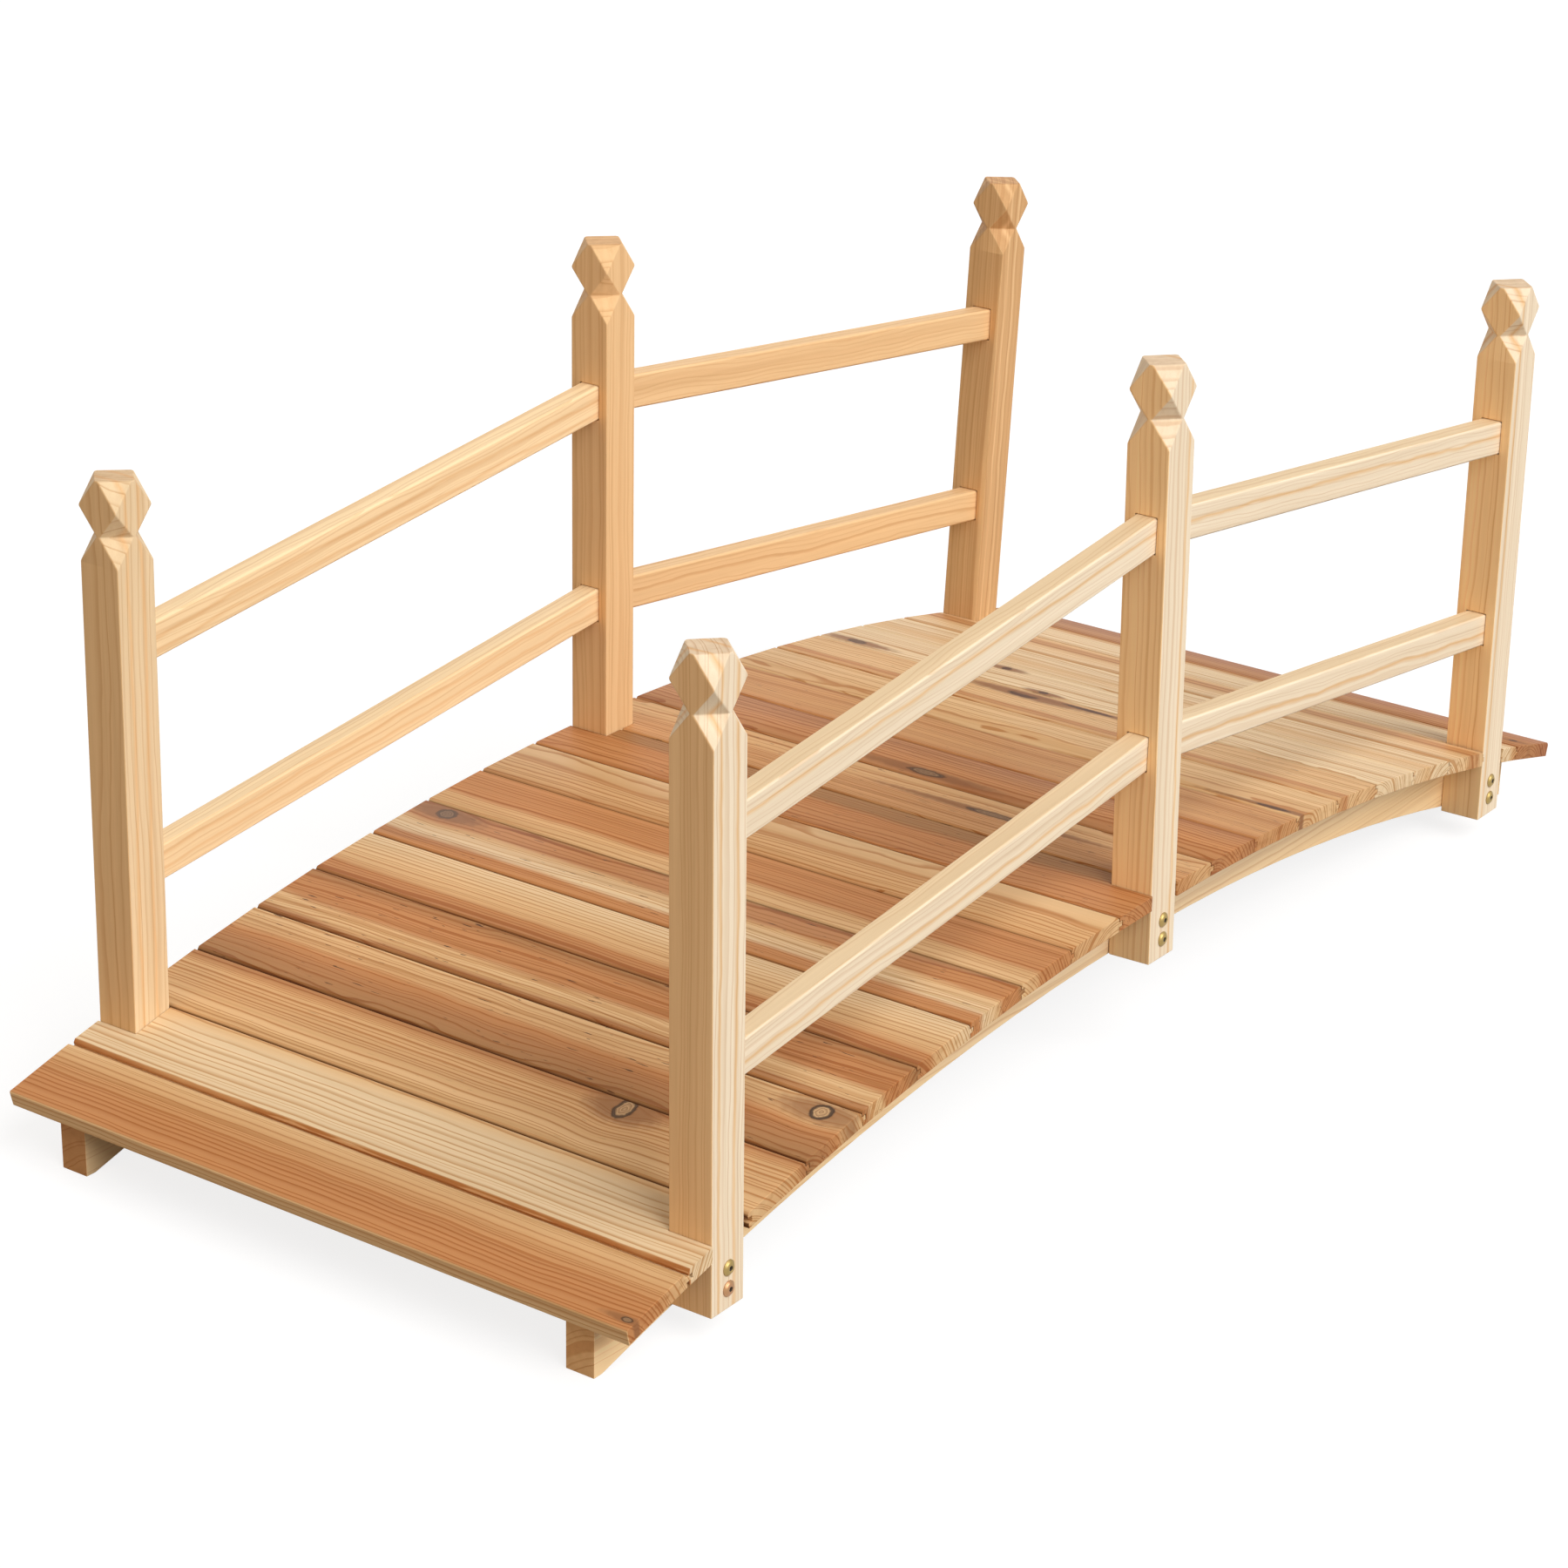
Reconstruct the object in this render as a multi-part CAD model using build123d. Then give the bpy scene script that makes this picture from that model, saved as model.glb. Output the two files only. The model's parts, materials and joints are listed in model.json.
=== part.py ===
from build123d import *
from math import atan2, degrees, sin, sqrt, tan
import os

# Arched garden footbridge of softwood. Millimetres, X along the bridge, Y across it, Z up.
# The origin is on the ground under the middle of the bridge.

# Deck of tongue and groove boards laid across the arch
BOARD_COUNT = 20
BOARD_PITCH = 76.0
BOARD_THICKNESS = 14.0
BOARD_LENGTH = 637.0
DECK_RADIUS = 2940.0
JOINT_GAP = 0.3
FIRST_JOINT_OPENING = 2.8
FRONT_EDGE_EASE = 1.2
V_JOINT_DEPTH = 2.4
TONGUE_LENGTH = 4.5
TONGUE_THICKNESS = 4.5
TONGUE_DROP = 5.0
TONGUE_CLEARANCE = 0.3

# Stringers sawn from plank, under the boards
STRINGER_THICKNESS = 27.0
STRINGER_DEPTH = 52.0
STRINGER_UNDERSIDE_RADIUS = 2870.0
STRINGER_SETBACK = 15.0
TOE_LENGTH = 10.0
BOARD_SEAT_GAP = 0.1

# Posts, bolted to the outer faces of the stringers
POST_SIZE = 40.5
END_POST_LENGTH = 532.5
MID_POST_LENGTH = 528.0
POST_INSET = 1.5
POST_SEAM = 2
POST_SEAM_GAP = 1.5
NOTCH_CLEARANCE = 0.6
# Left by assembly: shifts along X, and leans in degrees out over the end of the bridge and in over the deck
SHIFT = {"near_left": -1.5, "near_right": -0.5, "mid_left": -2.0, "mid_right": -2.0, "far_left": -4.0}
LEAN_OUT = {"near_left": -0.9, "near_right": 0.8, "far_left": 1.7, "far_right": -0.6}
LEAN_IN = {"mid_right": 1.3, "far_left": 1.2, "far_right": 0.5}

# Finial cut from the top of each post, heights down from its flat top
FINIAL_HEAD_DROP = 23.3
FINIAL_NECK_DROP = 46.0
FINIAL_SHOULDER_DROP = 69.5
FINIAL_NECK_FLAT = 2.5
FINIAL_TOP_FLAT = 2.8

# Rails housed in the posts, heights of their centre lines up from the foot of the post
RAIL_THICKNESS = 21.0
RAIL_DEPTH = 31.5
RAIL_EDGE = 1.6
UPPER_RAIL_HEIGHT = 386.5
LOWER_RAIL_HEIGHT = 194.0
MORTISE_DEPTH = 12.0
MORTISE_CLEARANCE = 0.4

SIDES = {"left": 1, "right": -1}
ENDS = {"near": -1, "far": 1}

# Places that follow from the sizes above
board_angle = 2 * atan2(BOARD_PITCH / 2, DECK_RADIUS)
board_half_width = (DECK_RADIUS - BOARD_THICKNESS) * tan(board_angle / 2) - JOINT_GAP / 2
deck_half_length = DECK_RADIUS * sin(BOARD_COUNT / 2 * board_angle)
stringer_half_length = deck_half_length - STRINGER_SETBACK
toe_start = stringer_half_length - TOE_LENGTH
stringer_top_radius = DECK_RADIUS - BOARD_THICKNESS - BOARD_SEAT_GAP
underside_centre_z = -sqrt(STRINGER_UNDERSIDE_RADIUS**2 - toe_start**2)
underside_crown_z = underside_centre_z + STRINGER_UNDERSIDE_RADIUS
arch_centre_z = underside_crown_z + STRINGER_DEPTH - stringer_top_radius
post_centre_y = BOARD_LENGTH / 2 - POST_INSET - POST_SIZE / 2
stringer_outer_y = post_centre_y - POST_SIZE / 2
seam_angle = (BOARD_COUNT / 2 - POST_SEAM) * board_angle
end_post_x = DECK_RADIUS * sin(seam_angle) + POST_SEAM_GAP + POST_SIZE / 2


def underside_z(x):
    """height of the underside of the stringers at a place along the bridge"""
    return underside_centre_z + sqrt(STRINGER_UNDERSIDE_RADIUS**2 - x**2)


def stringer_top_z(x):
    """height of the top edge of the stringers at a place along the bridge"""
    return arch_centre_z + sqrt(stringer_top_radius**2 - x**2)


def stringer(side):
    """arched bearer with upright end faces and a short flat toe at each end"""
    end = stringer_half_length
    top = ThreePointArc((-end, stringer_top_z(end)), (0, stringer_top_z(0)), (end, stringer_top_z(end)))
    under = ThreePointArc((toe_start, 0), (0, underside_crown_z), (-toe_start, 0))
    far_end = Polyline((end, stringer_top_z(end)), (end, 0), (toe_start, 0))
    near_end = Polyline((-toe_start, 0), (-end, 0), (-end, stringer_top_z(end)))
    outline = Plane.XZ * make_face([top, far_end, under, near_end])
    inner_y = stringer_outer_y - STRINGER_THICKNESS
    plank = extrude(outline, -STRINGER_THICKNESS)
    if side > 0:
        return Pos(0, inner_y, 0) * plank
    return Pos(0, -stringer_outer_y, 0) * plank


def board_section(number):
    """section of a deck board, its top on the X axis; the first has no groove and the last no tongue"""
    half = board_half_width
    rear = half - FIRST_JOINT_OPENING if number == 1 else half
    v = V_JOINT_DEPTH
    if number == 1:
        front = [(-half, -FRONT_EDGE_EASE), (-half + FRONT_EDGE_EASE, 0)]
    else:
        groove_end = -half + TONGUE_LENGTH + TONGUE_CLEARANCE
        groove_top = -TONGUE_DROP + TONGUE_CLEARANCE
        groove_bottom = -TONGUE_DROP - TONGUE_THICKNESS - TONGUE_CLEARANCE
        front = [(-half, groove_bottom), (groove_end, groove_bottom), (groove_end, groove_top)]
        front += [(-half, groove_top), (-half, -v), (-half + v, 0)]
    back = [(rear - v, 0), (rear, -v)]
    if number < BOARD_COUNT:
        tip = rear + TONGUE_LENGTH
        back += [(rear, -TONGUE_DROP), (tip, -TONGUE_DROP)]
        back += [(tip, -TONGUE_DROP - TONGUE_THICKNESS), (rear, -TONGUE_DROP - TONGUE_THICKNESS)]
    corners = [(-half, -BOARD_THICKNESS)] + front + back + [(rear, -BOARD_THICKNESS)]
    return make_face(Polyline(*corners, close=True))


def deck_board(number):
    """board counted from the near end, turned to lie along the arch"""
    angle = (number - (BOARD_COUNT + 1) / 2) * board_angle
    board = extrude(Plane.XZ * board_section(number), BOARD_LENGTH / 2, both=True)
    place = Pos(0, 0, arch_centre_z) * Rot(0, degrees(angle), 0) * Pos(0, 0, DECK_RADIUS)
    return place * board


def finial_cuts(length):
    """wedges that notch and bevel the four corners of a post of this length that stands at the origin"""
    corner = POST_SIZE / sqrt(2)
    neck = (POST_SIZE / 2 + FINIAL_NECK_FLAT / 2) / sqrt(2)
    crown = (POST_SIZE / 2 + FINIAL_TOP_FLAT / 2) / sqrt(2)
    head_z = length - FINIAL_HEAD_DROP
    neck_z = length - FINIAL_NECK_DROP
    shoulder_z = length - FINIAL_SHOULDER_DROP

    def beyond(start, through):
        return (2 * through[0] - start[0], 2 * through[1] - start[1])

    inner = (neck, neck_z)
    notch = [inner, beyond(inner, (corner, shoulder_z)), beyond(inner, (corner, head_z))]
    low = beyond((crown, length), (corner, head_z))
    high = beyond((corner, head_z), (crown, length))
    bevel = [low, high, (low[0], high[1])]
    cuts = []
    for quarter in range(4):
        turn = Rot(0, 0, 45 + 90 * quarter)
        for triangle in (notch, bevel):
            face = Plane.XZ * make_face(Polyline(*triangle, close=True))
            cuts.append(turn * extrude(face, POST_SIZE, both=True))
    return cuts


def post_place(place, side):
    """where the foot of a post stands; a post that leans in turns on the top edge of its stringer"""
    name = f"{place}_{'left' if side > 0 else 'right'}"
    end = ENDS.get(place, 0)
    x = end * end_post_x + SHIFT.get(name, 0)
    pivot_z = stringer_top_z(max(abs(x) - POST_SIZE, 0))
    lean = Rot(side * LEAN_IN.get(name, 0), end * LEAN_OUT.get(name, 0), 0)
    return Pos(x, side * stringer_outer_y, pivot_z) * lean * Pos(0, side * POST_SIZE / 2, underside_z(x) - pivot_z)


def rail(end, side, height, clearance=0.0):
    """straight rail between the middle post and an end post, or the room that it needs"""
    start = (post_place("mid", side) * Pos(0, 0, height)).position
    finish = (post_place(end, side) * Pos(0, 0, height)).position
    along = finish - start
    length = along.length - 2 * (POST_SIZE / 2 - MORTISE_DEPTH) + 2 * clearance
    bar = Box(length, RAIL_THICKNESS + 2 * clearance, RAIL_DEPTH + 2 * clearance)
    if clearance == 0:
        bar = chamfer(bar.edges().filter_by(Axis.X), RAIL_EDGE)
    across = Vector(0, 0, 1).cross(along)
    return Plane((start + finish) / 2, x_dir=along, z_dir=along.cross(across)) * bar


def post(place, side):
    """square post with its finial, and the mortises that the rails need"""
    length = MID_POST_LENGTH if place == "mid" else END_POST_LENGTH
    blank = Pos(0, 0, length / 2) * Box(POST_SIZE, POST_SIZE, length)
    shaped = post_place(place, side) * (blank - finial_cuts(length))
    bays = ENDS if place == "mid" else [place]
    for end in bays:
        for height in (UPPER_RAIL_HEIGHT, LOWER_RAIL_HEIGHT):
            shaped -= rail(end, side, height, MORTISE_CLEARANCE)
    return shaped


def notch(place, side, behind=0.0):
    """room for a post, open at the end of a deck board, longer behind the post where it opens on a seam"""
    wide = POST_SIZE + 2 * NOTCH_CLEARANCE
    run_out = POST_INSET + POST_SIZE / 2
    room = Box(wide, wide + run_out, MID_POST_LENGTH)
    if behind:
        offset = -ENDS[place] * (POST_SIZE + behind) / 2
        room += Pos(offset, 0, 0) * Box(behind, wide + run_out, MID_POST_LENGTH)
    return post_place(place, side) * Pos(0, side * run_out / 2, MID_POST_LENGTH / 2) * room


def notches(place):
    """number of each board that a pair of posts is let into, and how far its notch runs on behind"""
    if place == "mid":
        return {BOARD_COUNT // 2: 0, BOARD_COUNT // 2 + 1: 0}
    to_seam = POST_SEAM_GAP + TONGUE_LENGTH + V_JOINT_DEPTH
    if place == "near":
        return {POST_SEAM: to_seam}
    return {BOARD_COUNT + 1 - POST_SEAM: to_seam, BOARD_COUNT - POST_SEAM: 0}


pieces = {}

for number in range(1, BOARD_COUNT + 1):
    pieces[f"deck_board_{number:02d}"] = deck_board(number)

for side_name, side in SIDES.items():
    pieces[f"stringer_{side_name}"] = stringer(side)
    for place in ("near", "mid", "far"):
        pieces[f"post_{place}_{side_name}"] = post(place, side)
        for number, behind in notches(place).items():
            pieces[f"deck_board_{number:02d}"] -= notch(place, side, behind)
    for end in ENDS:
        pieces[f"rail_upper_{end}_{side_name}"] = rail(end, side, UPPER_RAIL_HEIGHT)
        pieces[f"rail_lower_{end}_{side_name}"] = rail(end, side, LOWER_RAIL_HEIGHT)

os.makedirs("parts", exist_ok=True)
for name, piece in pieces.items():
    export_step(piece, f"parts/{name}.step")
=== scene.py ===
import json
import math
from collections import namedtuple
import bmesh
import bpy
from mathutils import Matrix, Vector
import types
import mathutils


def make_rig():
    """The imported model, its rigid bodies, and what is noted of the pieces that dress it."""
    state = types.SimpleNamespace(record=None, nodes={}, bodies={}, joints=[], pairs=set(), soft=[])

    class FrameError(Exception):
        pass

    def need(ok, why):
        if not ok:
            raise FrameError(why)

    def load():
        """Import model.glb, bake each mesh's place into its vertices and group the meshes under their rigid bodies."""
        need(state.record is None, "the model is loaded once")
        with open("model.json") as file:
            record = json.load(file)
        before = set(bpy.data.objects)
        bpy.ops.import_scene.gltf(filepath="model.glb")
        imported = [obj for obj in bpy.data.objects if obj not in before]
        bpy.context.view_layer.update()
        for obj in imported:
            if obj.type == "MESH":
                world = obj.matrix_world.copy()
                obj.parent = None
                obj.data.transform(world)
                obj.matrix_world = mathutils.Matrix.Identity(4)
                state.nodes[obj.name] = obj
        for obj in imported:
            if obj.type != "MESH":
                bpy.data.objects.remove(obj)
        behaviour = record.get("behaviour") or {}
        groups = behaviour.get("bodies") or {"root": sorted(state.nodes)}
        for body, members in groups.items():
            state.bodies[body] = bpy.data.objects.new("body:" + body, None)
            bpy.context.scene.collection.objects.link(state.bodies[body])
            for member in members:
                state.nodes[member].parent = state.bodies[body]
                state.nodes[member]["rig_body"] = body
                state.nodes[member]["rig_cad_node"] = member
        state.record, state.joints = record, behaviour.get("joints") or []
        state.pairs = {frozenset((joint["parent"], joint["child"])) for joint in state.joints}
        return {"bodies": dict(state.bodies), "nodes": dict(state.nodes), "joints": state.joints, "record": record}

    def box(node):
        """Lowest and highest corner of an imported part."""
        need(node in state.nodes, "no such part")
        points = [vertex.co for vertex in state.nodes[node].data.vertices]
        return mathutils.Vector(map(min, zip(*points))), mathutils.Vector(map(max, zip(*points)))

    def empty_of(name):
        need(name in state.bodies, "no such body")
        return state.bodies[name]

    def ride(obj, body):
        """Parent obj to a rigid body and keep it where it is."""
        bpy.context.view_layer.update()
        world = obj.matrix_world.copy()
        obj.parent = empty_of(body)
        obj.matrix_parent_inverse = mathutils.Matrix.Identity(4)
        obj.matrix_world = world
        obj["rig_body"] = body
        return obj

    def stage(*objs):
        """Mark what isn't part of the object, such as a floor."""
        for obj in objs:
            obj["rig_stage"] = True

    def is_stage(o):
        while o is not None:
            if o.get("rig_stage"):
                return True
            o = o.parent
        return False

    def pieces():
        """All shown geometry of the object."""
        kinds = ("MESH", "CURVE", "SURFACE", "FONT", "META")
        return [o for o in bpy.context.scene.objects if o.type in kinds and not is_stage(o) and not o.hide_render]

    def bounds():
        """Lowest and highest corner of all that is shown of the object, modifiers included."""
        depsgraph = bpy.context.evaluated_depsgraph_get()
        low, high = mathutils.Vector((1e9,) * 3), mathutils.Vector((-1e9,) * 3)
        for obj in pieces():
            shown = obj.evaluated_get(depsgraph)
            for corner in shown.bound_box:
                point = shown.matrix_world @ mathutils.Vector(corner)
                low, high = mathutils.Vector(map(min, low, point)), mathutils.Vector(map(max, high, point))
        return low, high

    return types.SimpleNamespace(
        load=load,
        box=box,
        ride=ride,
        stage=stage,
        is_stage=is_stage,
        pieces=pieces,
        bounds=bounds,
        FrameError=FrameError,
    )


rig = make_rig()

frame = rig.load()
nodes = frame["nodes"]
json.dump({"frame": [list(c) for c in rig.bounds()]}, open("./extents.json", "w"))

# Sizes of the bridge in millimetres, with X along it, Y across it and Z up
MM_PER_M = 1000
BOARD_COUNT = 20
BOARD_PITCH = 76.0
DECK_RADIUS = 2940.0
POST_SIZE = 40.5
RAIL_DEPTH = 31.5

# Leans of the posts in degrees, out over the end of the bridge and in over the deck
LEAN_OUT = {"near_left": -0.9, "near_right": 0.8, "far_left": 1.7, "far_right": -0.6}
LEAN_IN = {"mid_right": 1.3, "far_left": 1.2, "far_right": 0.5}

# Places that follow from the sizes and from the crown of the deck
BOARD_HALF = BOARD_PITCH / 2
POST_HALF = POST_SIZE / 2
RAIL_HALF = RAIL_DEPTH / 2
BOARD_ANGLE = 2 * math.atan2(BOARD_HALF, DECK_RADIUS)
crown_z = max(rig.box("deck_board_10")[1].z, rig.box("deck_board_11")[1].z) * MM_PER_M
arch_centre_z = crown_z - DECK_RADIUS

# Wood tones, 0 to 255 as they render: pale sapwood first, then heartwood, then knots
IVORY = (243, 223, 194)
VANILLA = (245, 215, 170)
PALE_GOLD = (255, 218, 166)
CREAM = (232, 205, 165)
BUFF = (235, 195, 145)
STRAW = (225, 187, 138)
TAN = (214, 170, 120)
AMBER = (202, 151, 100)
ORANGE = (195, 136, 85)
BROWN = (180, 126, 80)
UMBER = (165, 120, 76)
RED_BROWN = (165, 106, 70)
KNOT_SHADE = (140, 92, 56)
KNOT_DARK = (85, 52, 34)
KNOT_RIM = (45, 28, 20)

# Plated steel tones, 0 to 255 as they render, and the painted shade inside the sockets
OLIVE = (162, 142, 84)
BRASS = (178, 148, 98)
COPPER = (186, 130, 104)
SOCKET_PAINTED_SHADE = (48, 36, 20)


def linear(r, g, b):
    """a colour given as it renders, 0 to 255, for a shader"""
    shares = (r / 255, g / 255, b / 255)
    return tuple(c / 12.92 if c <= 0.04045 else ((c + 0.055) / 1.055) ** 2.4 for c in shares)


class Nodes:
    """helper that adds nodes to a tree and joins them up"""

    def __init__(self, tree):
        self.tree = tree

    def new(self, kind):
        return self.tree.nodes.new("ShaderNode" + kind)

    def put(self, socket, value):
        """give an input a value, or the output of another node"""
        if isinstance(value, bpy.types.NodeSocket):
            self.tree.links.new(value, socket)
        elif isinstance(value, (tuple, list)) and socket.type == "RGBA" and len(value) == 3:
            socket.default_value = (*value, 1)
        else:
            socket.default_value = value

    def math(self, operation, *values):
        node = self.new("Math")
        node.operation = operation
        for socket, value in zip(node.inputs, values):
            self.put(socket, value)
        return node.outputs[0]

    def add(self, a, b):
        return self.math("ADD", a, b)

    def sub(self, a, b):
        return self.math("SUBTRACT", a, b)

    def mul(self, a, b):
        return self.math("MULTIPLY", a, b)

    def divide(self, a, b):
        return self.math("DIVIDE", a, b)

    def square(self, a):
        return self.math("MULTIPLY", a, a)

    def length(self, a, b):
        """length of a line from its two parts"""
        return self.math("SQRT", self.add(self.square(a), self.square(b)))

    def centred(self, noise):
        """noise as a swing to both sides of zero"""
        return self.sub(noise, 0.5)

    def split(self, vector):
        node = self.new("SeparateXYZ")
        self.put(node.inputs[0], vector)
        return node.outputs

    def join(self, x, y, z):
        node = self.new("CombineXYZ")
        for socket, value in zip(node.inputs, (x, y, z)):
            self.put(socket, value)
        return node.outputs[0]

    def noise(self, place, scale=1.0, detail=2.0, dimensions="3D"):
        node = self.new("TexNoise")
        node.noise_dimensions = dimensions
        self.put(node.inputs["W" if dimensions == "1D" else "Vector"], place)
        node.inputs["Scale"].default_value = scale
        node.inputs["Detail"].default_value = detail
        node.inputs["Roughness"].default_value = 0.5
        return node.outputs[0]

    def ramp(self, value, low, high, to_low=0.0, to_high=1.0, smooth=True):
        """value taken from one range to another and held at its ends"""
        node = self.new("MapRange")
        node.interpolation_type = "SMOOTHSTEP" if smooth else "LINEAR"
        node.clamp = True
        self.put(node.inputs["Value"], value)
        self.put(node.inputs["From Min"], low)
        self.put(node.inputs["From Max"], high)
        self.put(node.inputs["To Min"], to_low)
        self.put(node.inputs["To Max"], to_high)
        return node.outputs[0]

    def mix(self, factor, a, b, blend="MIX"):
        """mix of two colours, which are inputs 6 and 7 and output 2 of this node"""
        node = self.new("Mix")
        node.data_type = "RGBA"
        node.blend_type = blend
        self.put(node.inputs[0], factor)
        self.put(node.inputs[6], a)
        self.put(node.inputs[7], b)
        return node.outputs[2]

    def times(self, a, b):
        return self.mix(1.0, a, b, "MULTIPLY")

    def colour_ramp(self, value, tones):
        """colour at a value from 0 to 1, where the tones' places run from the first to the last"""
        node = self.new("ValToRGB")
        first, last = tones[0][0], tones[-1][0]
        stops = node.color_ramp.elements
        while len(stops) < len(tones):
            stops.new(1.0)
        for stop, (place, colour) in zip(stops, tones):
            stop.position = (place - first) / (last - first)
            stop.color = (*linear(*colour), 1)
        self.put(node.inputs[0], value)
        return node.outputs[0]

    def seen_directly(self):
        """1 for the camera and for what shows in reflections or through clear things"""
        path = self.new("LightPath").outputs
        reflected = self.math("MAXIMUM", path["Is Glossy Ray"], path["Is Transmission Ray"])
        return self.math("MAXIMUM", path["Is Camera Ray"], reflected)


# How squarely a face looks along the grain where it starts and ends to count as cut, and how a
# seed moves the noise through the piece as against along it
END_FACING = (0.55, 0.9)
SEED_SKEW = 1.7


class Shader(Nodes):
    """material that starts with an empty tree"""

    def __init__(self, name):
        self.material = bpy.data.materials.new(name)
        self.material.use_nodes = True
        super().__init__(self.material.node_tree)
        self.tree.nodes.clear()
        self.out = self.new("OutputMaterial")
        self.coords = self.new("TexCoord").outputs

    def local(self, matrix):
        """object coordinates in millimetres along the axes of a matrix given in metres"""
        node = self.new("Mapping")
        node.vector_type = "TEXTURE"
        self.put(node.inputs["Vector"], self.coords["Object"])
        node.inputs["Location"].default_value = matrix.to_translation()
        node.inputs["Rotation"].default_value = matrix.to_euler("XYZ")
        node.inputs["Scale"].default_value = (1 / MM_PER_M, 1 / MM_PER_M, 1 / MM_PER_M)
        return node.outputs[0]

    def facing_along(self, matrix):
        """1 on faces cut across the grain"""
        node = self.new("VectorMath")
        node.operation = "DOT_PRODUCT"
        self.put(node.inputs[0], self.coords["Normal"])
        node.inputs[1].default_value = matrix.to_3x3() @ Vector((1, 0, 0))
        return self.ramp(self.math("ABSOLUTE", node.outputs["Value"]), *END_FACING)

    def grain_noise(self, place, layer, seed):
        """noise drawn out along the grain at a place given as along, across and through"""
        along, across, through = place
        seed += layer.seed_offset
        x = self.add(self.mul(along, layer.along), seed)
        y = self.mul(across, layer.across)
        z = self.add(self.mul(through, layer.across), seed * SEED_SKEW)
        return self.noise(self.join(x, y, z), 1.0, layer.detail)

    def bump(self, height, strength, distance):
        node = self.new("Bump")
        node.inputs["Strength"].default_value = strength
        node.inputs["Distance"].default_value = distance
        self.put(node.inputs["Height"], height)
        return node.outputs[0]

    def surface(self, colour, roughness, metallic=0.0, specular=0.5, normal=None):
        """finish the material with this surface"""
        node = self.new("BsdfPrincipled")
        self.put(node.inputs["Base Color"], colour)
        node.inputs["Roughness"].default_value = roughness
        node.inputs["Metallic"].default_value = metallic
        node.inputs["Specular IOR Level"].default_value = specular
        if normal is not None:
            self.put(node.inputs["Normal"], normal)
        self.put(self.out.inputs[0], node.outputs[0])
        return self.material


def axes_matrix(along, across, origin):
    """matrix whose X runs with the grain and whose Y lies across it, at an origin in metres"""
    x = Vector(along).normalized()
    y = (Vector(across) - Vector(across).dot(x) * x).normalized()
    z = x.cross(y)
    m = Matrix((x, y, z)).transposed().to_4x4()
    m.translation = Vector(origin)
    return m


# Noise in the wood: rates per mm along and across the grain, offset of the seed, and detail
Layer = namedtuple("Layer", "along across seed_offset detail")
SLOW = Layer(0.0045, 0.010, 0, 2.0)
QUICK = Layer(0.018, 0.045, 11, 2.0)
BAND = Layer(0.0022, 0.11, 23, 2.0)
FIBRE = Layer(0.024, 1.9, 37, 3.0)
FLECK = Layer(0.05, 0.42, 51, 2.0)
STREAK = Layer(0.0016, 0.15, 67, 3.0)
RAGGED = Layer(0.16, 0.16, 0, 2.0)

# How far the rings and the tones wander with the noise, in mm
SLOW_DRIFT = 14
QUICK_DRIFT = 3
TONE_DRIFT = 0.55
TONE_WAVER = 5.0

# Where noise turns into bands, streaks and flecks, and how much the bands shade the wood
BAND_RANGE = (0.25, 0.75)
BAND_SHADE = (0.94, 1.06)
STREAK_RANGE = (0.52, 0.70)
FLECK_RANGE = (0.69, 0.73)

# Where the tone set on an outer face starts and is full, as shares of the half width; on the posts and rails that tone
# is painted light and shade
FACE_RANGE = (0.96, 0.985)

# Growth rings: how uneven they are, and where in a ring the late wood starts, is full and ends
UNEVEN_RATE = 0.11
UNEVEN_SEED = 3.3
UNEVENNESS = 2.4
RING_SCALE = 7.3
LATE_START = 0.3
LATE_START_SPREAD = 0.45
LATE_FULL = 0.95
LATE_DROP = 0.96
LATE_DEPTH = 0.3
LATE_DEPTH_SPREAD = 1.3
LATE_ON_ENDS = 0.7

# What darker parts do to the red, green and blue under them
WHITE = (1, 1, 1)
LATE_TINT = (0.72, 0.53, 0.37)
STREAK_TINT = (0.78, 0.67, 0.54)
# painted shade at the bottom of a V joint between deck boards
GROOVE_PAINTED_SHADE = (0.34, 0.25, 0.18)
SHADE_POWERS = (1.3, 1.7)
END_POWERS = (1, 1.5, 2)

# Bare planed surface: fibres stand a little proud, and so does the late wood
FIBRE_SHADE = 0.13
LATE_RIDGE = 0.6
GRAIN_RELIEF = 0.22
GRAIN_DEPTH = 0.4
WOOD_ROUGHNESS = 0.6
WOOD_SHINE = 0.2

# Knots: sizes as shares of a knot's own half length and half width
BEND_REACH = 2.2
BEND_CORE = 0.7
BEND_FADE = 2.6
BEND_PUSH = 1.1
EYE_RAGGED = 0.5
EYE_RANGE = (1.0, 0.9)
EYE_RINGS = 3.4
EYE_RING_DEPTH = 0.8
HALO_RAGGED = 0.7
HALO_STRETCH = 0.34
HALO_RANGE = (2.1, 0.9)
RIM_INNER = (0.68, 0.88)
RIM_OUTER = (1.26, 1.04)

# Depth of a knot's halo and rim: for a pale knot, and what a dark one adds
HALO_DEPTH = (0.65, 0.25)
RIM_DEPTH = (0.95, -0.45)


def bend_round_knots(s, along, across, knots):
    """place across the grain, pushed aside so that the rings flow round each knot"""
    bent = across
    for knot_along, knot_across, half_length, half_width, _ in knots:
        spread = -0.5 / (BEND_REACH * half_length) ** 2
        reach = s.math("EXPONENT", s.mul(s.square(s.sub(along, knot_along)), spread))
        off = s.sub(across, knot_across)
        size = s.math("SQRT", s.add(s.square(off), (BEND_CORE * half_width) ** 2))
        fade = s.math("EXPONENT", s.mul(s.math("ABSOLUTE", off), -1 / (BEND_FADE * half_width)))
        push = s.mul(reach, s.mul(s.divide(off, size), fade))
        bent = s.sub(bent, s.mul(push, BEND_PUSH * half_width))
    return bent


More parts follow.
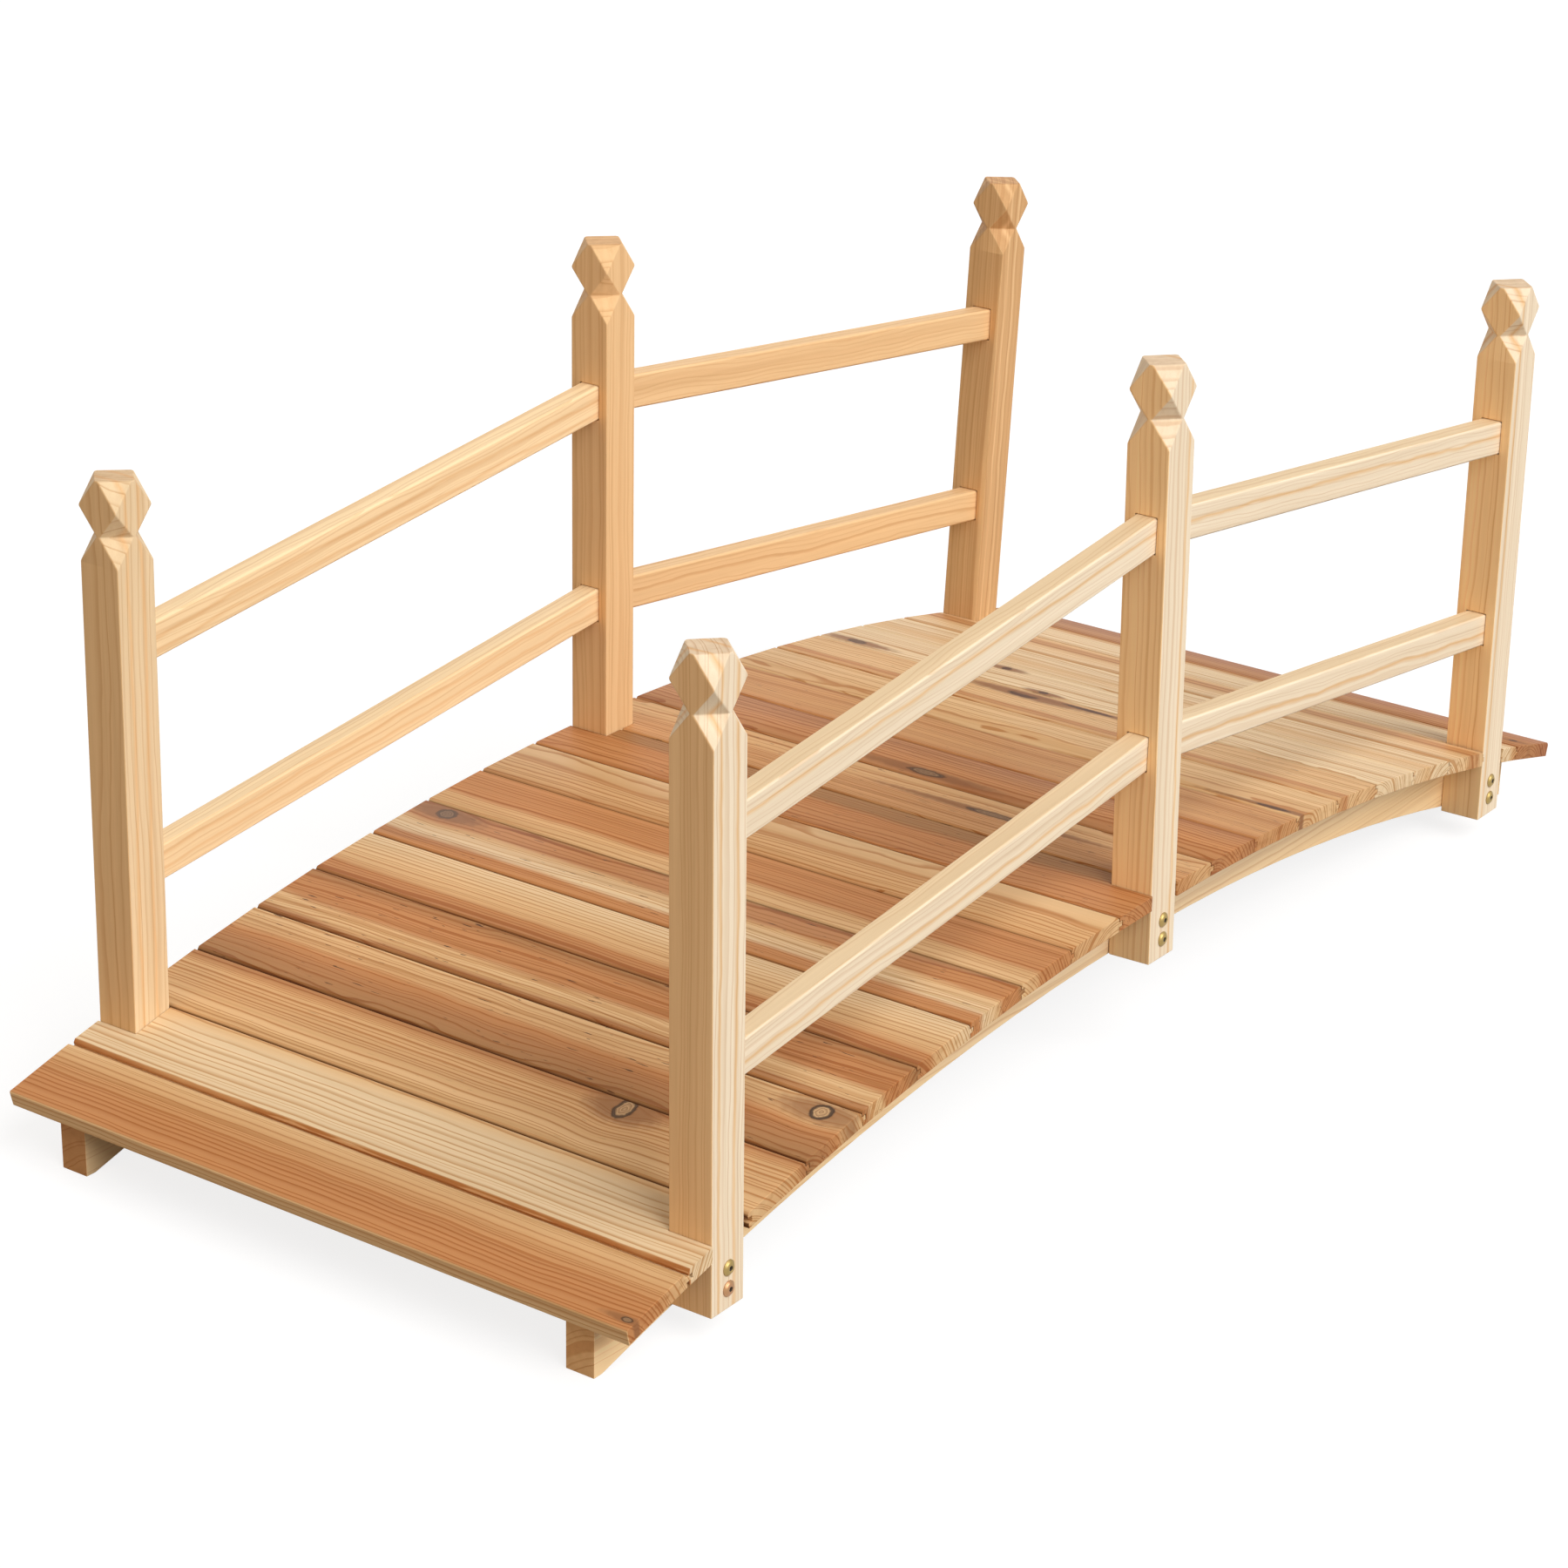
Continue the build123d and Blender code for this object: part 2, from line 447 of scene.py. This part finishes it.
def late_wood(s, across, through, drift, pith, spacing, contrast, seed):
    """depth of the late wood: pale early wood darkens to a sharp late edge in each ring"""
    radius = s.add(s.length(s.sub(across, pith[0]), s.sub(through, pith[1])), drift)
    uneven = s.noise(s.add(s.mul(radius, UNEVEN_RATE), seed * UNEVEN_SEED), 1.0, 1.0, "1D")
    rings = s.add(s.divide(radius, spacing), s.mul(uneven, UNEVENNESS))
    part = s.math("FRACT", rings)
    share = s.noise(s.math("FLOOR", rings), RING_SCALE, 0.0, "1D")
    start = s.add(LATE_START, s.mul(share, LATE_START_SPREAD))
    late = s.mul(s.ramp(part, start, LATE_FULL), s.ramp(part, 1.0, LATE_DROP))
    depth = s.add(LATE_DEPTH, s.mul(share, LATE_DEPTH_SPREAD))
    return s.mul(late, s.mul(depth, contrast))


def tone_across(s, across, straight_across, drift, quick, tones, faces):
    """tones that follow the grain across the piece, and those set on its outer faces, which on the posts and rails are
    painted light and shade
    """
    wander = s.add(s.mul(drift, TONE_DRIFT), s.mul(s.centred(quick), TONE_WAVER))
    place = s.ramp(s.add(across, wander), tones[0][0], tones[-1][0], smooth=False)
    base = s.colour_ramp(place, tones)
    for face, colour in faces:
        start, full = (share * face for share in FACE_RANGE)
        base = s.mix(s.ramp(straight_across, start, full), base, linear(*colour))
    return base


def fine_grain(s, base, place, fibre, streaks, flecks, seed):
    """bands, fibres, darker streaks and small resin flecks over the tones"""
    band = s.ramp(s.grain_noise(place, BAND, seed), *BAND_RANGE, *BAND_SHADE, smooth=False)
    shade = s.add(band, s.mul(s.centred(fibre), FIBRE_SHADE))
    green, blue = (s.math("POWER", shade, power) for power in SHADE_POWERS)
    base = s.times(base, s.join(shade, green, blue))
    streak = s.ramp(s.grain_noise(place, STREAK, seed), *STREAK_RANGE)
    base = s.times(base, s.mix(s.mul(streak, streaks), WHITE, STREAK_TINT))
    if flecks:
        spots = s.ramp(s.grain_noise(place, FLECK, seed), *FLECK_RANGE)
        base = s.mix(s.mul(spots, flecks), base, linear(*KNOT_DARK))
    return base


def by_darkness(depth, dark):
    """depth of part of a knot, from its value for a pale knot and what a dark one adds"""
    pale, added = depth
    return pale + added * dark


def knot_over(s, base, place, knot, seed):
    """one knot: a halo of shaded wood, an eye with rings of its own, and a dark rim"""
    knot_along, knot_across, half_length, half_width, dark = knot
    ragged = s.centred(s.grain_noise(place, RAGGED, seed + knot_along))
    along = s.divide(s.sub(place[0], knot_along), half_length)
    across = s.divide(s.sub(place[1], knot_across), half_width)
    reach = s.add(s.length(along, across), s.mul(ragged, EYE_RAGGED))
    halo = s.add(s.length(s.mul(along, HALO_STRETCH), across), s.mul(ragged, HALO_RAGGED))
    shaded = s.ramp(halo, *HALO_RANGE, 0.0, by_darkness(HALO_DEPTH, dark))
    base = s.mix(shaded, base, linear(*KNOT_SHADE))
    rings = s.mul(s.math("FRACT", s.mul(reach, EYE_RINGS)), EYE_RING_DEPTH)
    eye = s.mix(rings, linear(*STRAW), linear(*KNOT_SHADE))
    eye = s.mix(dark, eye, linear(*KNOT_DARK))
    base = s.mix(s.ramp(reach, *EYE_RANGE), base, eye)
    rim = s.mul(s.ramp(reach, *RIM_INNER), s.ramp(reach, *RIM_OUTER))
    return s.mix(s.mul(rim, by_darkness(RIM_DEPTH, dark)), base, linear(*KNOT_RIM))


def wood(name, matrix, tones, pith, spacing, wave=1.0, contrast=0.5, seed=0.0, streaks=0.5,
         knots=(), flecks=0.0, faces=(), end_grain_and_shade=0.84, groove_shade=()):
    """softwood whose growth rings lie round a pith line that runs with the grain, so faces and
    end grain agree

    tones are (across, colour) from one edge to the other, pith is (across, through), and knots
    are (along, across, half length, half width, darkness), all in mm; faces are (across, colour)
    of outer faces with a tone set apart, which on the posts and rails is painted light and shade;
    groove_shade gives where the painted shade in a V joint starts and where it is deepest."""
    s = Shader(name)
    along, straight_across, through = s.split(s.local(matrix))
    straight = (along, straight_across, through)
    across = bend_round_knots(s, along, straight_across, knots)
    bent = (along, across, through)
    slow = s.grain_noise(bent, SLOW, seed)
    quick = s.grain_noise(bent, QUICK, seed)
    fibre = s.grain_noise(bent, FIBRE, seed)
    drift = s.add(s.mul(s.centred(slow), wave * SLOW_DRIFT),
                  s.mul(s.centred(quick), wave * QUICK_DRIFT))

    end = s.facing_along(matrix)
    late = late_wood(s, across, through, drift, pith, spacing, contrast, seed)
    late = s.math("MINIMUM", s.mul(late, s.add(1.0, s.mul(end, LATE_ON_ENDS))), 1.0)
    base = tone_across(s, across, straight_across, drift, quick, tones, faces)
    base = s.times(base, s.mix(late, WHITE, LATE_TINT))
    base = fine_grain(s, base, bent, fibre, streaks, flecks, seed)
    for knot in knots:
        base = knot_over(s, base, straight, knot, seed)

    # Cut ends are darker and warmer, on the stringers also with painted shade, and painted shade darkens the bottom of
    # a V joint
    darker = tuple(end_grain_and_shade ** power for power in END_POWERS)
    base = s.mix(end, base, s.times(base, darker))
    for start, bottom in groove_shade:
        deep = s.mul(s.ramp(straight_across, start, bottom), s.sub(1.0, end))
        base = s.mix(deep, base, s.times(base, GROOVE_PAINTED_SHADE))

    height = s.add(s.mul(late, LATE_RIDGE), fibre)
    relief = s.bump(height, GRAIN_RELIEF, GRAIN_DEPTH / MM_PER_M)
    return s.surface(base, WOOD_ROUGHNESS, specular=WOOD_SHINE, normal=relief)


# Edges of the pieces: how far they are eased in mm, and from which angle in degrees
EASED_EDGES = {"deck_board": 0.45, "post": 0.8, "rail": 0.4, "stringer": 0.5}
EASED_FROM = 28
EASED_STEPS = 2
WELD_GAP = 0.02


def dress(node, material):
    """give a CAD piece its material and eased edges"""
    obj = nodes[node]
    obj.data.materials.clear()
    obj.data.materials.append(material)
    weld = obj.modifiers.new("weld", "WELD")
    weld.merge_threshold = WELD_GAP / MM_PER_M
    kind = next(kind for kind in EASED_EDGES if node.startswith(kind))
    bevel = obj.modifiers.new("eased edges", "BEVEL")
    bevel.width = EASED_EDGES[kind] / MM_PER_M
    bevel.segments = EASED_STEPS
    bevel.limit_method = "ANGLE"
    bevel.angle_limit = math.radians(EASED_FROM)
    bevel.harden_normals = False
    bevel.use_clamp_overlap = True


# Deck boards: tones from the near edge to the far edge, each with its place across the board in mm
NEAR = -BOARD_HALF
FAR = BOARD_HALF
BOARD_SEED = 7.37
BOARD_END_TINT = 0.97
# Where the painted shade in the V joints at a board's near and far edges starts and is deepest, in mm
NEAR_GROOVE_SHADE = (-36.0, -37.7)
FAR_GROOVE_SHADE = (36.2, 37.7)


def board(tones, pith, spacing, wave=1.0, contrast=0.5, streaks=0.6, knots=(), flecks=0.0, faces=()):
    """look of one deck board, as the wood material takes it"""
    return {"tones": tones, "pith": pith, "spacing": spacing, "wave": wave, "contrast": contrast,
            "streaks": streaks, "knots": knots, "flecks": flecks, "faces": faces}


BOARDS = (
    board(((NEAR, ORANGE), (-10, ORANGE), (10, AMBER), (22, TAN), (FAR, STRAW)),
          (-70, -40), 4.2, 0.7, 1.15, 0.8, knots=((311, -27, 5, 2.5, 0.6),), faces=((NEAR, STRAW),)),
    # board 2: the amber band from its near edge to -35.6 mm is painted shade on the chamfer of its joint with board 1
    board(((NEAR, AMBER), (-35.6, AMBER), (-34.4, CREAM), (20, CREAM), (32, STRAW), (FAR, TAN)),
          (60, -75), 3.6, 0.5, 1.0, 0.1),
    board(((NEAR, TAN), (-30, STRAW), (-8, TAN), (20, TAN), (28, AMBER), (33, BROWN), (FAR, BROWN)),
          (-60, -56), 3.3, 0.5, 1.4, 0.6, knots=((152, 26, 8, 12, 0.25),), flecks=0.2),
    board(((NEAR, UMBER), (-10, BROWN), (4, ORANGE), (13, TAN), (FAR, STRAW)),
          (-46, -34), 4.4, 1.5, 1.1, 1.0, knots=((291, 22, 9, 9, 0.15),), flecks=0.9),
    board(((NEAR, AMBER), (-33, BROWN), (-27, STRAW), (-12, STRAW), (-4, ORANGE), (20, ORANGE),
           (FAR, UMBER)),
          (52, -42), 4.2, 1.3, 1.1, 1.0, flecks=1.0),
    board(((NEAR, BROWN), (-20, ORANGE), (-12, TAN), (5, STRAW), (FAR, CREAM)),
          (-70, -42), 3.8, 0.7, 1.25, 0.5),
    board(((NEAR, ORANGE), (-24, ORANGE), (-16, CREAM), (2, STRAW), (10, ORANGE), (30, ORANGE),
           (FAR, UMBER)),
          (46, -40), 4.0, 1.2, 1.1, 0.9, knots=((-284, 24, 9, 8, 0.75),), flecks=0.9),
    board(((NEAR, STRAW), (-15, TAN), (-9, ORANGE), (FAR, ORANGE)), (-60, -40), 3.8, 0.7, 1.0, 0.8),
    board(((NEAR, AMBER), (-26, TAN), (0, TAN), (FAR, STRAW)), (34, -50), 4.2, 0.9, 1.25, 0.5),
    board(((NEAR, ORANGE), (8, ORANGE), (20, UMBER), (FAR, UMBER)),
          (-40, -40), 4.2, 1.4, 1.1, 1.0, flecks=0.7),
    board(((NEAR, AMBER), (0, AMBER), (12, TAN), (FAR, TAN)),
          (40, -40), 4.0, 1.2, 1.2, 0.8, knots=((110, 6, 26, 4, 0.7),), flecks=0.6),
    board(((NEAR, BROWN), (0, ORANGE), (FAR, BROWN)),
          (-34, -42), 3.8, 1.2, 1.3, 1.0, knots=((6, -22, 18, 6, 0.7),), flecks=0.7),
    board(((NEAR, ORANGE), (-20, AMBER), (FAR, AMBER)),
          (56, -30), 4.2, 1.2, 1.0, 0.7, flecks=0.5),
    board(((NEAR, STRAW), (-18, TAN), (0, STRAW), (FAR, STRAW)),
          (-22, -24), 5.0, 1.8, 1.1, 0.6, knots=((288, -29, 16, 3, 1.0),)),
    board(((NEAR, TAN), (-27, AMBER), (-20, ORANGE), (-14, STRAW), (12, STRAW), (FAR, TAN)),
          (48, -40), 4.2, 1.0, 1.1, 0.8, knots=((-62, 22, 16, 7, 1.0), (10, 27, 26, 3, 1.0)),
          flecks=0.5),
    board(((NEAR, CREAM), (0, CREAM), (FAR, CREAM)), (-36, -36), 4.2, 1.0, 1.2, 0.5,
          knots=((-281, -25, 10, 6, 0.9), (-130, 21, 5, 5, 1.0), (-54, -31, 5, 4, 1.0))),
    board(((NEAR, CREAM), (-8, STRAW), (6, CREAM), (FAR, CREAM)), (44, -36), 4.4, 1.0, 1.1, 0.5),
    board(((NEAR, CREAM), (2, STRAW), (8, AMBER), (24, AMBER), (32, STRAW), (FAR, STRAW)),
          (-50, -40), 4.4, 0.9, 1.0, 0.8),
    board(((NEAR, CREAM), (22, CREAM), (29, TAN), (FAR, AMBER)), (50, -30), 4.8, 0.8, 1.0, 0.5),
    board(((NEAR, BROWN), (0, BROWN), (FAR, RED_BROWN)),
          (-8, -34), 4.2, 0.8, 1.1, 1.0, knots=((300, -8, 4, 4, 1.0),)),
)
assert len(BOARDS) == BOARD_COUNT


def board_axes(number):
    """grain across the bridge and width along the arch, at the middle of a board's top"""
    angle = (number - (BOARD_COUNT + 1) / 2) * BOARD_ANGLE
    top = Vector((DECK_RADIUS * math.sin(angle), 0, arch_centre_z + DECK_RADIUS * math.cos(angle)))
    return axes_matrix((0, -1, 0), (math.cos(angle), 0, -math.sin(angle)), top / MM_PER_M)


def board_groove_shade(number):
    """V joints of a board that get painted shade; the first and the last joint of the deck get none"""
    joints = ((NEAR_GROOVE_SHADE, number - 1), (FAR_GROOVE_SHADE, number))
    return [place for place, joint in joints if 1 < joint < BOARD_COUNT]


for number, look in enumerate(BOARDS, 1):
    material = wood(f"deck board {number:02d}", board_axes(number), seed=number * BOARD_SEED,
                    groove_shade=board_groove_shade(number), end_grain_and_shade=BOARD_END_TINT, **look)
    dress(f"deck_board_{number:02d}", material)

# Posts: tone, painted light and shade as the tone of the face towards the near end, places of the streaks, pith and
# ring spacing
POSTS = {
    "near_left": (CREAM, STRAW, (-9, 7), (70, 40), 4.6),
    "near_right": (IVORY, BUFF, (-11, 9), (-62, 54), 4.0),
    "mid_left": (BUFF, BUFF, (-2,), (64, 70), 4.4),
    "mid_right": (IVORY, PALE_GOLD, (12,), (58, 66), 4.0),
    "far_left": (TAN, STRAW, (-10, 4), (-52, 60), 4.4),
    "far_right": (IVORY, PALE_GOLD, (-12,), (62, 50), 4.8),
}
POST_GRAIN = {"wave": 0.7, "contrast": 0.42, "streaks": 0.25}
POST_SEEDS = (340, 9.3)

# Rails: tone, tone of the top face, which on the right rails is painted shade, and places of the streaks up the rail
RAILS = {
    "upper_near_left": (VANILLA, VANILLA, (-8, 4)), "lower_near_left": (VANILLA, VANILLA, (-4, 9)),
    "upper_far_left": (BUFF, BUFF, (-9, 6)), "lower_far_left": (BUFF, BUFF, (0,)),
    "upper_near_right": (IVORY, CREAM, (5,)), "lower_near_right": (IVORY, CREAM, (-3,)),
    "upper_far_right": (IVORY, CREAM, (3,)), "lower_far_right": (IVORY, CREAM, (-2,)),
}
RAIL_GRAIN = {"wave": 1.1, "contrast": 0.35, "streaks": 0.25}
RAIL_SEEDS = (570, 8.9)
RAIL_PITHS = ((60, 45), (-48, 70), (72, -40), (-66, -52))
RAIL_SPACING = 4.2
RAIL_SPACING_STEP = 0.3
RAIL_SPACINGS = 3

# Stringers: tones from the underside up, pith, ring spacing, and darkness of each one's sawn ends, which is darker end
# grain and painted shade from the deck above
STRINGER_TONES = ((-75, PALE_GOLD), (0, PALE_GOLD), (75, IVORY))
STRINGER_PITH = (-130, 44)
STRINGER_SPACING = 7.0
STRINGER_GRAIN = {"wave": 1.2, "contrast": 0.4, "streaks": 0.2}
STRINGER_SEEDS = (790, 13.1)
STRINGER_END_GRAIN_AND_SHADE = {"left": 0.5, "right": 0.73}

# A streak in a post or rail: how far its tone takes to come and to go, in mm
STREAK_RISE = 3.5
STREAK_FALL = 2.5


def side_of(name):
    """1 for the left side of the bridge and -1 for the right"""
    return 1 if name.endswith("left") else -1


def post_axes(name):
    """directions up a post and along the bridge on it, from its leans"""
    end = {"near": -1, "mid": 0, "far": 1}[name.split("_")[0]]
    into = math.radians(side_of(name) * LEAN_IN.get(name, 0))
    out = math.radians(end * LEAN_OUT.get(name, 0))
    turn = Matrix.Rotation(into, 3, "X") @ Matrix.Rotation(out, 3, "Y")
    return turn @ Vector((0, 0, 1)), turn @ Vector((1, 0, 0))


def mean(points):
    return sum(points, Vector()) / len(points)


def rail_axes(name):
    """grain along a sloping rail and width up it, at its middle"""
    co = [v.co for v in nodes["rail_" + name].data.vertices]
    middle = mean(co)
    near = [c for c in co if c.x < middle.x]
    far = [c for c in co if c.x >= middle.x]
    return axes_matrix(mean(far) - mean(near), (0, 0, 1), middle)


def streaked(colour, half, places):
    """one tone across a piece, with warm streaks at the places given"""
    tones = [(-half, colour)]
    for place in places:
        tones += [(place - STREAK_RISE, colour), (place, BUFF), (place + STREAK_FALL, colour)]
    return (*tones, (half, colour))


def seed_of(seeds, i):
    first, step = seeds
    return first + i * step


# each post's face towards the near end takes its own tone as painted light and shade
for i, (name, (colour, near_face_light_and_shade, streaks, pith, spacing)) in enumerate(POSTS.items()):
    low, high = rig.box("post_" + name)
    up, along = post_axes(name)
    material = wood("post " + name.replace("_", " "), axes_matrix(up, along, (low + high) / 2),
                    streaked(colour, POST_HALF, streaks), pith, spacing,
                    seed=seed_of(POST_SEEDS, i), faces=((-POST_HALF, near_face_light_and_shade),), **POST_GRAIN)
    dress("post_" + name, material)

# the right rails' top faces take a darker tone as painted shade
for i, (name, (colour, top_face_shade, streaks)) in enumerate(RAILS.items()):
    spacing = RAIL_SPACING + RAIL_SPACING_STEP * (i % RAIL_SPACINGS)
    material = wood("rail " + name.replace("_", " "), rail_axes(name),
                    streaked(colour, RAIL_HALF, streaks), RAIL_PITHS[i % len(RAIL_PITHS)], spacing,
                    seed=seed_of(RAIL_SEEDS, i), faces=((RAIL_HALF, top_face_shade),), **RAIL_GRAIN)
    dress("rail_" + name, material)

# the stringers' sawn ends are darkened partly as end grain and partly as painted shade
for i, (side, end_grain_and_shade) in enumerate(STRINGER_END_GRAIN_AND_SHADE.items()):
    low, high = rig.box("stringer_" + side)
    material = wood("stringer " + side, axes_matrix((1, 0, 0), (0, 0, 1), (low + high) / 2),
                    STRINGER_TONES, STRINGER_PITH, STRINGER_SPACING,
                    seed=seed_of(STRINGER_SEEDS, i), end_grain_and_shade=end_grain_and_shade, **STRINGER_GRAIN)
    dress("stringer_" + side, material)


# Bolt surfaces: how fine the drift of the plating's tint is, and how rough and how metallic they are
TINT_SCALE = 90.0
PLATING_ROUGHNESS = 0.42
SOCKET_ROUGHNESS = 0.6
SOCKET_METAL = 0.4


def plated(name, tone, other):
    """zinc plating whose tint drifts between two tones"""
    s = Shader(name)
    tint = s.noise(s.coords["Object"], TINT_SCALE)
    return s.surface(s.mix(tint, linear(*tone), linear(*other)), PLATING_ROUGHNESS, metallic=1.0)


zinc = plated("zinc yellow", OLIVE, BRASS)
copper_zinc = plated("zinc copper", COPPER, BRASS)
# the socket walls and floor are painted dark as shade in the recess
socket = Shader("bolt socket")
socket_painted_shade = socket.surface(linear(*SOCKET_PAINTED_SHADE), SOCKET_ROUGHNESS, metallic=SOCKET_METAL)

# Bolt heads in mm: radius and height of the flange, the dome and the rim of the hexagon socket
HEAD = ((6.7, 0.0), (6.7, 0.7), (6.35, 1.0), (5.9, 1.15), (5.5, 1.6), (4.8, 2.2), (3.9, 2.55), (2.7, 2.7))
HEAD_HEIGHT = HEAD[-1][1]
SOCKET_FLATS = 4.0
SOCKET_LIP = 0.1
SOCKET_DEPTH = 2.0
SIDES = 48

# Where the bolts sit: up from the foot of the post and along the bridge from its middle, in mm
BOLT_HEIGHTS = {"upper": 35.5, "lower": 17.5}
BOLT_OFFSET = 1.0
FOOT_DEPTH = 0.5
COPPER_BOLT = ("near_right", "lower")

# Turn of each head in radians, so that no two sockets on a post line up
FIRST_TURN = 0.35
TURN_BY_LEVEL = 0.8
TURN_BY_NAME = 1.3


def hexagon(angle):
    """radius of the hexagon socket at an angle"""
    sixth = math.pi / 3
    from_flat = (angle + sixth / 2) % sixth - sixth / 2
    return SOCKET_FLATS / 2 / math.cos(from_flat)


def ring(bm, height, radius_at):
    """one ring of a head, where the radius may change with the angle"""
    corners = []
    for k in range(SIDES):
        angle = 2 * math.pi * k / SIDES
        radius = radius_at(angle)
        corners.append(bm.verts.new((radius * math.cos(angle), radius * math.sin(angle), height)))
    return corners


def bolt_mesh(plating):
    """domed flange head with a hexagon socket whose walls and floor are painted dark as shade"""
    bm = bmesh.new()
    rings = [ring(bm, height, lambda angle, radius=radius: radius) for radius, height in HEAD]
    rings.append(ring(bm, HEAD_HEIGHT - SOCKET_LIP, hexagon))
    rings.append(ring(bm, HEAD_HEIGHT - SOCKET_DEPTH, hexagon))
    for level, (lower, upper) in enumerate(zip(rings, rings[1:])):
        for k in range(SIDES):
            after = (k + 1) % SIDES
            wall = bm.faces.new((lower[k], lower[after], upper[after], upper[k]))
            wall.material_index = 1 if level >= len(HEAD) else 0
    socket_floor = bm.faces.new(rings[-1])
    socket_floor.material_index = 1
    for face in bm.faces:
        face.smooth = face is not socket_floor
    underside = bm.faces.new(list(reversed(rings[0])))
    underside.smooth = False
    bmesh.ops.scale(bm, vec=(1 / MM_PER_M, 1 / MM_PER_M, 1 / MM_PER_M), verts=bm.verts)
    mesh = bpy.data.meshes.new("bolt")
    bm.to_mesh(mesh)
    bm.free()
    mesh.materials.append(plating)
    mesh.materials.append(socket_painted_shade)
    return mesh


def foot_of(name, axis):
    """middle of the lower end of a post"""
    co = [v.co for v in nodes["post_" + name].data.vertices]
    lowest = min(co, key=lambda q: q.dot(axis))
    return mean([c for c in co if (c - lowest).dot(axis) < FOOT_DEPTH / MM_PER_M])


for name in POSTS:
    axis, across = post_axes(name)
    outward = axis.cross(across) * side_of(name)
    z = outward.normalized()
    x = across.normalized()
    foot = foot_of(name, axis)
    for i, (level, height) in enumerate(BOLT_HEIGHTS.items()):
        offset = axis * height + outward * POST_HALF + across * BOLT_OFFSET
        plating = copper_zinc if (name, level) == COPPER_BOLT else zinc
        bolt = bpy.data.objects.new(f"bolt_{name}_{level}", bolt_mesh(plating))
        bpy.context.scene.collection.objects.link(bolt)
        m = Matrix((x, z.cross(x), z)).transposed().to_4x4()
        m.translation = foot + offset / MM_PER_M
        turn = FIRST_TURN + TURN_BY_LEVEL * i + TURN_BY_NAME * len(name)
        bolt.matrix_world = m @ Matrix.Rotation(turn, 4, "Z")
        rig.ride(bolt, "root")

# Floor: takes soft shadows and looks white to the camera and in reflections
FLOOR_SIZE = 60
FLOOR_SHADE = (0.25, 0.25, 0.25)
FLOOR_GLOW = 0.82
bpy.ops.mesh.primitive_plane_add(size=FLOOR_SIZE)
floor = bpy.context.object
floor.name = "floor"
ground = Shader("floor")
diffuse = ground.new("BsdfDiffuse")
ground.put(diffuse.inputs["Color"], FLOOR_SHADE)
glow = ground.new("Emission")
ground.put(glow.inputs["Color"], WHITE)
ground.put(glow.inputs["Strength"], ground.mul(ground.seen_directly(), FLOOR_GLOW))
both = ground.new("AddShader")
ground.put(both.inputs[0], diffuse.outputs[0])
ground.put(both.inputs[1], glow.outputs[0])
ground.put(ground.out.inputs[0], both.outputs[0])
floor.data.materials.append(ground.material)
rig.stage(floor)

# Surroundings: light the bridge softly and look white to the camera and in reflections
SOFT_COLOUR = (1.0, 0.98, 0.95)
SOFT_STRENGTH = 0.25
world = bpy.data.worlds.new("studio")
bpy.context.scene.world = world
world.use_nodes = True
sky = Nodes(world.node_tree)
soft_light = sky.tree.nodes["Background"]
sky.put(soft_light.inputs["Color"], SOFT_COLOUR)
sky.put(soft_light.inputs["Strength"], SOFT_STRENGTH)
white = sky.new("Background")
sky.put(white.inputs["Color"], WHITE)
sky.put(white.inputs["Strength"], 1.0)
either = sky.new("MixShader")
sky.put(either.inputs[0], sky.seen_directly())
sky.put(either.inputs[1], soft_light.outputs[0])
sky.put(either.inputs[2], white.outputs[0])
sky.put(sky.tree.nodes["World Output"].inputs["Surface"], either.outputs[0])


def sun(name, toward, strength, colour, softness):
    """lamp far away whose light comes from the given direction"""
    data = bpy.data.lights.new(name, "SUN")
    data.energy = strength
    data.color = colour
    data.angle = math.radians(softness)
    obj = bpy.data.objects.new(name, data)
    bpy.context.scene.collection.objects.link(obj)
    obj.rotation_mode = "QUATERNION"
    obj.rotation_quaternion = Vector(toward).to_track_quat("Z", "Y")
    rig.stage(obj)


# Lamps: direction that the light comes from, strength, colour and softness in degrees
LAMPS = {
    "key": ((-0.10, -0.76, 0.66), 2.95, (1.0, 1.0, 1.0), 50),
    "top": ((0.45, -0.05, 0.9), 0.20, (1.0, 0.97, 0.92), 60),
    "warm fill": ((-1.0, 0.0, 0.12), 0.70, (1.0, 0.60, 0.20), 50),
    "back fill": ((0.55, 0.80, 0.10), 0.9, (1.0, 0.95, 0.88), 60),
}
for name, lamp in LAMPS.items():
    sun(name, *lamp)

# Camera: right and up directions, place in metres, then focal length, centre and frame in pixels
RIGHT = Vector((0.5820490, -0.8128286, 0.0229931))
UP = Vector((0.3262041, 0.2593024, 0.9090397))
PLACE = Vector((-2.8123397, -1.9251676, 1.5608246))
FOCAL = 4699.43
CENTRE_X = 940.0
CENTRE_Y = 1100.0
FRAME_SIZE = 1800
SENSOR_MM = 36
CLIP_END_M = 100
camera_data = bpy.data.cameras.new("camera")
camera_data.sensor_width = SENSOR_MM
camera_data.lens = FOCAL / FRAME_SIZE * SENSOR_MM
camera_data.shift_x = (FRAME_SIZE / 2 - CENTRE_X) / FRAME_SIZE
camera_data.shift_y = (CENTRE_Y - FRAME_SIZE / 2) / FRAME_SIZE
camera_data.clip_end = CLIP_END_M
camera = bpy.data.objects.new("camera", camera_data)
bpy.context.scene.collection.objects.link(camera)
pose = Matrix((RIGHT, UP, RIGHT.cross(UP))).transposed().to_4x4()
pose.translation = PLACE
camera.matrix_world = pose
bpy.context.scene.camera = camera
bpy.context.scene.view_settings.view_transform = "Standard"

size = json.load(open("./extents.json"))
size["visual"] = [list(c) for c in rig.bounds()]
json.dump(size, open("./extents.json", "w"))
